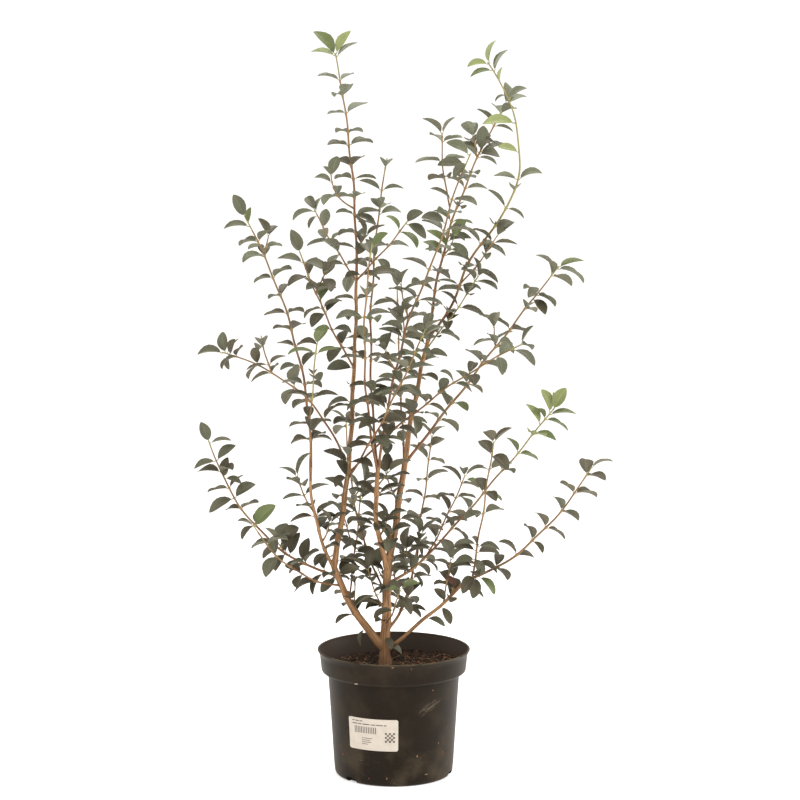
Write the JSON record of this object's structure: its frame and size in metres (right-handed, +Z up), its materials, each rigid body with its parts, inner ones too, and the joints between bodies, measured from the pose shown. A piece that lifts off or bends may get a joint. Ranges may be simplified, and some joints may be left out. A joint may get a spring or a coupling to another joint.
{
  "type": "potted osmanthus shrub",
  "caption": "Young evergreen osmanthus shrub with upright leafy shoots, standing in a round black nursery pot filled with compost.",
  "frame": {"origin": "centre of the pot's flat underside", "axes": "+Z up the plant, -Y towards the picture's viewer, +X to the viewer's right"},
  "size_m": [0.6142, 0.4585, 1.1153],
  "materials": {
    "pot_plastic": "black moulded plastic, satin, dusty and scuffed",
    "compost": "dark fibrous compost with bark chips",
    "label_sheet": "off-white sticker with no lettering",
    "bark": "tan-brown bark, finely ridged along the limb",
    "foliage": "leathery dark green leaves on reddish-brown twigs, light green at some tips"
  },
  "bodies": {
    "root": {"pot": "pot_plastic", "compost": "compost", "label": "label_sheet", "trunk": "bark", "bough_left": "bark", "bough_left_tall": "bark", "bough_left_outer": "bark", "bough_left_upper": "bark", "bough_left_top": "bark", "bough_centre_right": "bark", "bough_centre_left": "bark", "bough_right_tall": "bark", "bough_right_low": "bark", "bough_right_mid": "bark", "bough_back": "bark", "mass_left_long": "foliage", "mass_left_side": "foliage", "mass_left_low": "foliage", "mass_left_mid": "foliage", "mass_cross_inner": "foliage", "mass_cross_right": "foliage", "mass_left_upper": "foliage", "mass_top_left": "foliage", "mass_top_back": "foliage", "mass_top_front": "foliage", "mass_centre_front": "foliage", "mass_centre_back": "foliage", "mass_centre_right": "foliage", "mass_right_top": "foliage", "mass_right_hook": "foliage", "mass_right_upper": "foliage", "mass_back_upper": "foliage", "mass_right_mid": "foliage", "mass_right_back": "foliage", "mass_right_low": "foliage", "mass_right_upright": "foliage", "mass_back_right": "foliage", "mass_back_left": "foliage", "mass_inner_left": "foliage", "mass_low_front": "foliage", "mass_left_inner": "foliage"}
  },
  "joints": []
}
